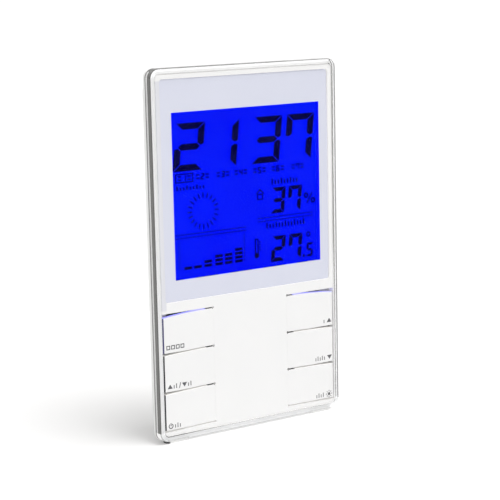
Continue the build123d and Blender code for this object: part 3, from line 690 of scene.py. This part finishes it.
# %% [markdown]
# ## The printed border, the lens and the front glass
# A pale lilac-grey print on the lens hides the display's edges and leaves a window. The lens and
# the front glass are thin sheets with a fine rounded edge. The real print is on the lens's back,
# but a viewer sees it nearer than that, since a clear sheet lifts what lies behind it. Because the
# lens here has almost no refraction, its print is drawn where the eye would find it, just behind
# the lens's face. A second frame of print stands on the back, for the view from the side.

# %% Border, lens and front glass
lilac_print = moulded("lilac_print", (0.62, 0.635, 0.73), (0.635, 0.65, 0.74), (0.3, 0.4), 900, 0.001 * MM, 0)
lens_front, lens_back, lens_round = mm(0.5, 1.5, 0.2)
picture_front, film = mm(3.5, 0.04)
ink_front, ink_back = mm(0.53, 0.56)
border_front, border_back = mm(1.53, 1.6)
least_radius = 0.02 * MM


def slab(half, low, high, radius, front, back, edge):
    """A flat piece with round corners and a rounded front edge, closed all round."""
    steps = [(edge + support, 0)] + quarter_round(edge) + [(0, back - front)]
    rings = []
    for inset, more in steps:
        edges = inset - half, half - inset, low + inset, high - inset
        rings.append(set_back(rounded_outline(*edges, max(radius - inset, least_radius)), front + more))
    return stacked(rings)


def print_frame(inner, outer, front, back):
    """A thin flat frame between two rounded outlines."""
    lines = [rounded_outline(*inner), rounded_outline(*outer)]
    steps = [(0, front), (1, front), (1, back), (0, back), (0, front)]
    return swept([set_back(lines[which], depth) for which, depth in steps])


lens = slab(*mm(33.8, 47.5, 121.4, 1.0), lens_front, lens_back, lens_round)
clear_lens = add_piece("clear_lens", *lens, coated_lens, stands_for=["display_lens"], slot="lens_clear")
# The lens's side faces glow faintly: painted light.
paint(clear_lens, [lit_white("lens_edge_painted_glow", 0.3, (0.8, 0.8, 0.88), (0.84, 0.84, 0.9))],
      lambda face: abs(face.normal.z) < 0.1)
half_glass, glass_top, glass_corner, glass_round = mm(31.2, 112.8, 0.3, 0.1)
front_glass = slab(half_glass, glass_low, glass_top, glass_corner, glass_front, picture_front - film / 2,
                   glass_round)
add_piece("front_glass_sheet", *front_glass, inner_glass, stands_for=["display_front_glass"],
          slot="display_glass")
outer_line = mm(-33.74, 33.74, 47.56, 121.34, 0.94)
window = mm(-29.65, 30.3, 54.6, 110.4, 0.1)
rear_window = mm(-31.9, 31.9, 52.6, 112.4, 0.1)
lens_print = print_frame(window, outer_line, ink_front, ink_back)
rear_print = print_frame(rear_window, outer_line, border_front, border_back)
add_piece("lens_print", *lens_print, lilac_print, slot="lilac_print")
add_piece("printed_border", *rear_print, lilac_print, stands_for=["lens_border"], slot="lilac_print")
print("the lens is", round((lens_back - lens_front) / MM, 2), "mm thick")

# %% [markdown]
# ## Cutting flat shapes
# The display's picture and the marks on the keys are flat shapes of ink. Each shape is a list of
# corners, given a real thickness of a few hundredths of a millimetre, so that it exports as a
# closed solid and never flickers against the surface behind it.

# %% Flat shapes
def cut_film(shapes, front, thickness):
    """Thin plates with the given outlines, all in one mesh."""
    points, faces = [], []
    for shape in shapes:
        start, count = len(points), len(shape)
        area = sum(shape[i][0] * shape[(i + 1) % count][1] - shape[(i + 1) % count][0] * shape[i][1]
                   for i in range(count))
        outline = shape if area > 0 else shape[::-1]
        points += [(x * MM, y * MM, -front) for x, y in outline]
        points += [(x * MM, y * MM, -front - thickness) for x, y in outline]
        faces.append(tuple(range(start, start + count)))
        faces.append(tuple(range(start + 2 * count - 1, start + count - 1, -1)))
        for i in range(count):
            j = (i + 1) % count
            faces.append((start + i, start + count + i, start + count + j, start + j))
    return points, faces


def box(low_x, high_x, low_y, high_y):
    return [(low_x, low_y), (high_x, low_y), (high_x, high_y), (low_x, high_y)]


def disc(x, y, radius, sides=12):
    return [round_about(x, y, radius, tau * i / sides) for i in range(sides)]


def hoop(x, y, inner, outer, start=0.0, turn=tau, steps=16):
    """A ring, or part of one, made of four-sided steps."""
    shapes = []
    for i in range(steps):
        first, last = start + turn * i / steps, start + turn * (i + 1) / steps
        shapes.append([round_about(x, y, r, a)
                       for r, a in [(inner, first), (outer, first), (outer, last), (inner, last)]])
    return shapes


def hollow_box(low_x, high_x, low_y, high_y, line):
    return [box(low_x, high_x, low_y, low_y + line), box(low_x, high_x, high_y - line, high_y),
            box(low_x, low_x + line, low_y, high_y), box(high_x - line, high_x, low_y, high_y)]


def dashes(low_x, high_x, y, length, gap, line):
    """A broken line along x."""
    count = int((high_x - low_x + gap) / (length + gap))
    return [box(low_x + i * (length + gap), low_x + i * (length + gap) + length, y - line / 2, y + line / 2)
            for i in range(count)]


# %% [markdown]
# ## Seven-segment digits
# A digit has seven segments with mitred ends and thin gaps between them, and the whole digit leans
# to the right by about six degrees. All the numbers come from one function, so a change of bar or
# slant shows in each of them.

# %% The digits
LIT = {"0": "abcdef", "1": "bc", "2": "abged", "3": "abgcd", "4": "fgbc", "5": "afgcd",
       "6": "afgecd", "7": "fabc", "8": "abcdefg", "9": "abcdfg"}


def segment_shapes(width, height, bar, upright_bar):
    """The seven segments of an upright digit round the origin."""
    x, y, half, tip = width / 2, height / 2, bar / 2, 0.09 * bar
    w = upright_bar
    top = [(-x + tip, y), (x - tip, y), (x - w - tip, y - bar), (-x + w + tip, y - bar)]
    upright = [(x, y - tip), (x, 0.34 * bar), (x - w / 2, 0.2 * bar), (x - w, half + tip),
               (x - w, y - bar - tip)]
    middle_bar = [(-x + w / 2 + tip, 0), (-x + w + tip, half), (x - w - tip, half), (x - w / 2 - tip, 0),
                  (x - w - tip, -half), (-x + w + tip, -half)]
    return {"a": top, "d": [(px, -py) for px, py in top], "g": middle_bar, "b": upright,
            "c": [(px, -py) for px, py in upright], "f": [(-px, py) for px, py in upright],
            "e": [(-px, -py) for px, py in upright]}


def digits(text, centres, middle_y, width, height, bar, upright_bar, slant=0.11):
    """Outlines of all lit segments of a number, leaning to the right."""
    segments = segment_shapes(width, height, bar, upright_bar)
    return [[(centre + px + slant * py, middle_y + py) for px, py in segments[letter]]
            for figure, centre in zip(text, centres) for letter in LIT[figure]]


strong = {
    "time_digits": digits("2137", [-21.3, -7.6, 10.2, 23.8], 35.9, 11.4, 15.9, 2.1, 2.5),
    "humidity_digits": digits("37", [14.5, 21.5], 14.55, 5.6, 8.9, 1.3, 1.5),
    "temperature_digits": digits("27", [14.2, 21.4], -2.45, 5.6, 8.9, 1.3, 1.5),
    "tenth_digit": digits("5", [27.7], -4.3, 2.7, 4.8, 0.7, 0.75) + [disc(25.1, -6.3, 0.45)],
}
print("the display's numbers have", sum(len(shapes) for shapes in strong.values()), "shapes")

# %% [markdown]
# ## The small marks on the display
# Round the numbers the display has a forecast sun, a pressure chart with six columns, fine broken
# lines between its fields, and small labels. The labels are left as plain numbers and ticks, so
# that nothing on the part is lettering. They are paler than the numbers because they are much
# finer than the glass's colour can cover. Everything is drawn from the display's middle, and since
# it was measured on a slanted view, one function brings it to its place just behind the lens's face.

# %% The marks
def chart_columns():
    shapes = []
    for centre, count in zip([-22.9, -19.0, -14.9, -10.5, -6.6, -2.4], [1, 1, 2, 3, 3, 4]):
        shapes += [box(centre - 1.5, centre + 1.5, 1.36 * i - 5.3, 1.36 * i - 4.4) for i in range(count)]
    return shapes


def sun_rays(x, y, inner, outer, count, half_width):
    """Short bars that point away from a centre."""
    shapes = []
    for i in range(count):
        angle = tau * i / count
        across = (-half_width * sin(angle), half_width * cos(angle))
        shapes.append([(x + r * cos(angle) + way * across[0], y + r * sin(angle) + way * across[1])
                       for r, way in [(inner, 1), (inner, -1), (outer, -1), (outer, 1)]])
    return shapes


def weekday_marks():
    """Seven small groups, the first in a frame: a number between two dashes."""
    shapes = hollow_box(-27.0, -20.0, 24.1, 27.1, 0.3)
    for number, centre in enumerate([-23.5, -16.3, -8.1, -0.8, 6.9, 14.6, 23.0], 1):
        shapes += digits(str(number), [centre], 25.6, 1.4, 2.1, 0.4, 0.42)
        shapes += [box(u - 0.6, u + 0.6, v, v + 0.4)
                   for u in (centre - 1.9, centre + 1.9) for v in (24.9, 26.0)]
    return shapes


def ruler(low, high, y, tall, small, pitch=1.3):
    """A row of upright ticks, each third one taller."""
    count = int((high - low) / pitch) + 1
    return [box(low + i * pitch - 0.24, low + i * pitch + 0.24, y, y + (tall if i % 3 == 0 else small))
            for i in range(count)]


def percent_sign(x, y):
    slash = [(x - 1.35, y - 1.8), (x - 0.9, y - 1.8), (x + 1.4, y + 1.8), (x + 0.95, y + 1.8)]
    return [slash] + hoop(x - 1.45, y + 0.95, 0.45, 0.95) + hoop(x + 1.5, y - 0.95, 0.45, 0.95)


def small_thermometer(x, low, high):
    return ([box(x - 0.75, x - 0.35, low, high), box(x + 0.35, x + 0.75, low, high),
             box(x - 0.75, x + 0.75, high, high + 0.35)]
            + [box(x + 1.0, x + 1.6, low + 0.95 * i, low + 0.95 * i + 0.35) for i in range(1, 5)])


def small_house(x, y):
    roof = [[(x - 1.8, y), (x, y + 1.7), (x + 1.8, y), (x + 1.3, y), (x, y + 1.2), (x - 1.3, y)]]
    return roof + hollow_box(x - 1.2, x + 1.2, y - 2.0, y, 0.32)


def double_line(low, high, y):
    return dashes(low, high, y, 0.9, 0.35, 0.26) + dashes(low, high, y - 1.15, 0.9, 0.35, 0.26)


faint = {
    "weekday_marks": weekday_marks(),
    "forecast_label": ruler(-26.4, -15.5, 21.6, 1.4, 0.9),
    "sun_mark": sun_rays(-16.3, 13.9, 4.5, 6.2, 20, 0.17),
    "humidity_label": ruler(12.1, 23.6, 20.2, 1.9, 1.4),
    "percent_mark": percent_sign(27.9, 14.1),
    "house_mark": small_house(6.9, 17.4),
    "field_lines": double_line(-27.6, 1.5, 6.6) + double_line(5.8, 30, 8.9),
    "temperature_label": ruler(9.6, 25.2, 5.1, 1.9, 1.4),
    "degree_mark": hoop(27.2, 1.2, 0.5, 0.9),
    "thermometer_mark": small_thermometer(5.1, -3.2, 1.6),
    "chart_frame": [box(x - 0.15, x + 0.15, 1.1 * i - 5, 1.1 * i - 4.45)
                    for x in (-26.2, 0.0) for i in range(9)],
}
strong["thermometer_bulb"] = [disc(5.1, -3.9, 0.95)]
strong["pressure_chart"] = chart_columns()
display_middle, drawing_size, drawing_shift = 62.5, 0.994, (-1.86, 0.97)


def on_the_lens(shapes):
    """Brings the drawing, measured on a slanted picture, to its place behind the lens's face."""
    across, up = drawing_shift
    return [[(drawing_size * x + across, drawing_size * (y + display_middle) + up) for x, y in shape]
            for shape in shapes]


def dark_layer(name, first, second):
    """Dark ink that is seen by a very weak light of its own."""
    finish = glow_finish(name, first, second, 1.0, scale=400, roughness=0.5)
    tree = finish.node_tree
    feed_all(tree.nodes["Principled BSDF"], {"Base Color": two_tone(tree, 200, first, second)})
    return finish


for ink, group in ((dark_layer("picture_dark", (0.0, 0.0, 0.012), (0.002, 0.002, 0.03)), strong),
                   (dark_layer("picture_faint", (0.0, 0.0, 0.008), (0.0, 0.0, 0.03)), faint)):
    for name, shapes in group.items():
        add_piece(name, *cut_film(on_the_lens(shapes), ink_front, film), ink, slot="display_glass")
print("small marks on the display:", len(faint), "groups")

# %% [markdown]
# ## Marks on the keys
# Each key carries a small printed mark in its outer lower corner, in grey ink. Plain pictograms
# stand here, so the print is lettering in no language. The ink stands 15 thousandths of a
# millimetre proud of the plastic and rides on its key, so it goes in when the key is pressed. Each
# mark is drawn round the corner it stands in, and moved to its key's side and row at the end.

# %% Key marks
def triangle(x, half, up):
    return [(x - half, -up * 0.7), (x + half, -up * 0.7), (x, up * 0.8)]


def squares(count, size, pitch, line):
    return [side for i in range(count)
            for side in hollow_box(i * pitch, i * pitch + size, -size / 2, size / 2, line)]


def slash(x, half, lean_by, line):
    return [(x, -half), (x + line, -half), (x + line + lean_by, half), (x + lean_by, half)]


def bars(x, count, pitch=0.95, line=0.32):
    """Upright bars, tall and short by turns."""
    return [box(x + i * pitch, x + i * pitch + line, -0.8, 0.8 if i % 2 else 0.35) for i in range(count)]


line, ink_height = 0.3, 0.015 * MM
mark_u = {"left": -34.2, "right": 34.6}
mark_v = {"upper": 32.3, "middle": 18.9, "lower": 5.3}
marks = {
    "left_upper": squares(4, 1.45, 1.85, line),
    "left_middle": [triangle(1.0, 1.0, 1)] + bars(2.4, 2)
    + [slash(4.5, 0.95, 0.5, line), triangle(6.7, 1.0, -1)] + bars(8.1, 2),
    "left_lower": hoop(0.9, 0, 0.6, 0.95, radians(125), radians(290))
    + [box(0.73, 1.07, 0, 1.05)] + bars(2.5, 3),
    "right_upper": [triangle(-1.0, 1.05, 1)] + bars(-3.4, 1),
    "right_middle": [triangle(-1.0, 1.05, -1)] + bars(-7.2, 5),
    "right_lower": [disc(-1.4, 0, 0.55)] + bars(-7.0, 4) + sun_rays(-1.4, 0, 0.85, 1.4, 8, 0.13),
}
key_ink = moulded("grey_key_ink", (0.07, 0.07, 0.075), (0.10, 0.10, 0.11), (0.45, 0.55), 2000, 0.002 * MM, 0)
for place, shapes in marks.items():
    side, row = place.split("_")
    shapes = [[(x + mark_u[side], y + mark_v[row]) for x, y in shape] for shape in shapes]
    add_piece("key_" + place + "_mark", *cut_film(shapes, plate_front - ink_height, ink_height), key_ink,
              body="key_" + place, slot="black_plastic")
print("printed marks:", len(marks))

# %% [markdown]
# ## Screws
# Eight screws hold the clock together: four long ones, deep in the round wells of the back, and four
# short ones on the board. A screw is a stack of rings on one axis. The shank's rings are wide and
# narrow by turns, which reads as a thread, and the domed head ends in a cross. A cross can be a
# ring too: for each angle there is just one distance at which a ray from the middle leaves it.

# %% Screws
turn_steps = 32
thread_waist, point_share = 0.8, 0.35
dome = [(1, 0.02), (1, 0.6), (0.94, 0.82), (0.8, 0.95), (0.66, 1.0)]
cross_arm, cross_half, cross_taper, cross_floor = 0.58, 0.14, 0.75, 0.35


def ray_ring(u, v, depth, angles, distance):
    """A ring round a screw's axis, at a distance that may change with the angle."""
    return set_back([round_about(u, v, distance(a), a) for a in angles], depth)


def cross_distance(arm, half):
    """How far from its middle a ray leaves a cross, for each angle."""
    def distance(angle):
        c, s = max(abs(cos(angle)), 1e-6), max(abs(sin(angle)), 1e-6)
        return max(min(arm / c, half / s), min(half / c, arm / s))
    return distance


def screw_skin(u, v, tip, seat, shank, head, head_height, pitch=0.7 * MM):
    arm, half = cross_arm * head, cross_half * head
    corners = [atan2(half, arm), pi / 4, atan2(arm, half)]
    angles = sorted({round(quarter * pi / 2 + a, 6) for quarter in range(4) for a in corners}
                    | {round(tau * i / turn_steps, 6) for i in range(turn_steps)})
    steps = [(tip, point_share * shank)]
    steps += [(tip + (i + 1) * pitch / 2, shank * (1 if i % 2 else thread_waist))
              for i in range(int((seat - tip) / pitch) * 2)]
    steps.append((seat, thread_waist * shank))
    steps += [(seat + height * head_height, radius * head) for radius, height in dome]
    rings = [ray_ring(u, v, depth, angles, lambda a, r=radius: r) for depth, radius in steps]
    for height, share in ((1, 1), (cross_floor, cross_taper)):
        cross = cross_distance(share * arm, share * half)
        rings.append(ray_ring(u, v, seat + height * head_height, angles, cross))
    return stacked(rings)


well_screws = [screw_skin(side * u, v, *mm(3.95, 11.4, 1.0, 2.18, 1.58))
               for side in (-1, 1) for u, v in (mm(21.5, 116.5), mm(8.5, 24.0))]
board_fixings = [screw_skin(side * 27.0 * MM, v, *mm(3.65, 7.6, 0.7, 1.48, 0.58, 0.5))
                 for side in (-1, 1) for v in mm(116.5, 46.5)]
for name, skins, node in (("well_screws", well_screws, "housing_screws"),
                          ("board_fixings", board_fixings, "board_screws")):
    add_piece(name, *joined(*skins), plated_steel, stands_for=[node], slot="plated_steel")
print("screws:", len(well_screws) + len(board_fixings))

# %% [markdown]
# ## Cells
# Two cells lie across the battery bay, one each way round. A cell is a profile turned about its own
# axis: a plastic sleeve shrunk over a steel can, with the can's bare ends showing, and a button at
# the plus end. The sleeve is plain, with only a plus and a minus on it, cut as thin plates that
# reach just out of the sleeve at its rearmost line, where the open door shows them.

# %% Cells
cell_depth, bay_middle, cell_step = mm(15.0, 48.997, 5.65)
can_profile = [(-20.3, 1.6), (-20.28, 4.2), (-20.12, 4.45)]
sleeve_profile = [(-20.14, 4.75), (-20.02, 5.05), (-19.8, 5.2), (-19.5, 5.24),
                  (22.4, 5.24), (22.75, 5.2), (22.98, 5.02), (23.12, 4.7)]
button_profile = [(23.05, 4.4), (23.19, 4.1), (23.19, 2.3), (23.35, 1.95), (24.05, 1.88), (24.19, 1.7)]
plus_place, minus_place, sign_half, stroke_half = 18.0, -16.5, 1.6, 0.3
sign_front, sign_depth = cell_depth + 4.99 * MM, 0.29 * MM
sleeve = moulded("cell_sleeve", (0.10, 0.14, 0.19), (0.12, 0.165, 0.22), (0.22, 0.32), 700, 0.02 * MM, 0)
sleeve_ink = moulded("cell_ink", (0.75, 0.75, 0.74), (0.8, 0.8, 0.79), (0.4, 0.5), 900, 0.002 * MM, 0)


def turned_skin(profile, v, depth, way):
    """Turns pairs of place and radius about an axis that runs across the case."""
    angles = [way * tau * i / turn_steps for i in range(turn_steps)]
    rings = [[(way * place, v + radius * sin(a), -depth + radius * cos(a)) for a in angles]
             for place, radius in profile]
    return stacked(rings)


sleeve_strips = range(len(can_profile), len(can_profile) + len(sleeve_profile) - 1)
for name, way, v in (("cell_upper", -1, bay_middle + cell_step), ("cell_lower", 1, bay_middle - cell_step)):
    profile = [(place * MM, radius * MM) for place, radius in can_profile + sleeve_profile + button_profile]
    cell = add_piece(name + "_can", *turned_skin(profile, v, cell_depth, way), plated_steel,
                     stands_for=[name], slot="cell_jacket")
    paint(cell, [sleeve], lambda face: face.index // turn_steps in sleeve_strips and len(face.vertices) == 4)
    plus, minus, level = way * plus_place, way * minus_place, v / MM
    signs = [box(middle_u - sign_half, middle_u + sign_half, level - stroke_half, level + stroke_half)
             for middle_u in (plus, minus)]
    signs += [box(plus - stroke_half, plus + stroke_half, level + low, level + high)
              for low, high in ((stroke_half, sign_half), (-sign_half, -stroke_half))]
    add_piece(name + "_signs", *cut_film(signs, sign_front, sign_depth), sleeve_ink, slot="cell_jacket")
print("cells:", round((button_profile[-1][0] - can_profile[0][0]), 1), "mm long")

# %% [markdown]
# ## Contact springs
# Each spring is a steel wire wound into a tapering coil of two and a half turns, so that its turns
# can slide into each other when a cell goes in. The wire is a ring of points carried along the
# coil's path. At each step the ring is turned to face the way the wire runs, which keeps it round.

# %% Contact springs
wire_radius, coil_turns, coil_start, coil_reach = 0.25 * MM, 2.5, 23.97 * MM, 3.39 * MM
coil_large, coil_small, coil_steps, wire_sides = 3.2 * MM, 2.0 * MM, 28, 10


def coil_skin(side, v):
    rings = []
    count = round(coil_turns * coil_steps)
    around = [tau * j / wire_sides for j in range(wire_sides)]
    for share in (i / count for i in range(count + 1)):
        angle = tau * coil_turns * share
        radius = coil_large + share * (coil_small - coil_large)
        out = Vector((0, cos(angle), sin(angle)))
        axis_point = Vector((side * (coil_start - share * coil_reach), v, -cell_depth))
        ahead = Vector((-side * coil_reach / (tau * coil_turns), -radius * out.z, radius * out.y))
        beside = ahead.normalized().cross(out)
        rings.append([tuple(axis_point + radius * out + wire_radius * (cos(a) * beside + sin(a) * out))
                      for a in around])
    return stacked(rings)


for name, side, v in (("contact_spring_right", 1, bay_middle + cell_step),
                      ("contact_spring_left", -1, bay_middle - cell_step)):
    add_piece(name + "_coil", *coil_skin(side, v), plated_steel, stands_for=[name], slot="plated_steel")
print("two springs of", coil_turns, "turns")

# %% [markdown]
# ## The floor
# The clock stands on a light table: a white floor that glows a little from below, which keeps the
# shadows pale. The glow is stronger under the clock's front edge, a painted strip of light that
# lifts the shade in the gap beneath the frame. The floor reaches so far that its end is never seen.

# %% Floor
reach, table_glow, painted_gap_glow = 40.0, 0.05, 0.17


def floor_finish():
    finish, tree, shader = new_finish("pale_floor")
    # Painted light: a stronger glow in a strip of floor under the clock's front edge.
    under_edge = within(tree, (object_axis(tree, "X"), *mm(-33, 38, 1)),
                        (object_axis(tree, "Y"), *mm(-25.5, -20, 0.8)))
    glow = calculated(tree, "MULTIPLY_ADD", under_edge, painted_gap_glow, table_glow)
    feed_all(shader, {"Base Color": two_tone(tree, 3, (0.80, 0.795, 0.79), (0.82, 0.815, 0.81)),
                      "Roughness": 0.35, "Emission Color": (1, 1, 1), "Emission Strength": glow})
    return finish


floor_mesh = bpy.data.meshes.new("floor")
floor_corners = [(-reach, -reach, 0), (reach, -reach, 0), (reach, reach, 0), (-reach, reach, 0)]
floor_mesh.from_pydata(floor_corners, [], [(0, 1, 2, 3)])
floor_mesh.materials.append(floor_finish())
put_in_scene("floor", floor_mesh)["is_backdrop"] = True
print("the floor is", 2 * reach, "m wide")

# %% [markdown]
# ## The camera
# The photographer stood rather more than half a metre away, to the left of the clock and a little
# above its top. The place and the long lens were found by fitting the straight edges of the face,
# so the model can be laid over the photograph line by line.

# %% Camera
camera_data = bpy.data.cameras.new("camera")
camera_data.sensor_width = 36
camera_data.lens = 114.92
camera_data.clip_start = 0.01
camera = put_in_scene("camera", camera_data)
camera.location = mm(-301.02, -462.36, 173.7)
camera.rotation_euler = Vector((0.55259, 0.80805, -0.2042)).to_track_quat("-Z", "Y").to_euler()
bpy.context.scene.camera = camera
print("the camera stands", round(camera.location.length, 2), "m from the clock's foot")

# %% [markdown]
# ## The light
# An even white studio gives most of the light. One broad lamp, high up in front on the right, gives
# the faces their shape and draws a soft shadow on the left: the wider its angle, the softer the
# shadow's edge. The Standard view keeps white white, as a catalogue picture does.

# %% Light
lamp_data = bpy.data.lights.new("broad_lamp", "SUN")
lamp_data.energy = 2.6
lamp_data.angle = radians(46)
lamp = put_in_scene("broad_lamp", lamp_data)
lamp.rotation_euler = Vector((0.34, -0.32, 1.05)).to_track_quat("Z", "Y").to_euler()
world = bpy.data.worlds.new("studio")
bpy.context.scene.world = world
world.use_nodes = True
feed_all(world.node_tree.nodes["Background"], {"Color": (1, 1, 1), "Strength": 0.71})
bpy.context.scene.view_settings.view_transform = "Standard"
print("one lamp, spread over", round(degrees(lamp_data.angle)), "degrees")

# %% [markdown]
# ## Sizes
# Last, the dressed model is measured against the solid one: dressing may not change the clock's
# size.

# %% Sizes
bpy.context.view_layer.update()
dressed_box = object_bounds()
heights = [round(each[1][2] / MM, 2) for each in (cad_box, dressed_box)]
print("height in mm, solid and dressed:", *heights)
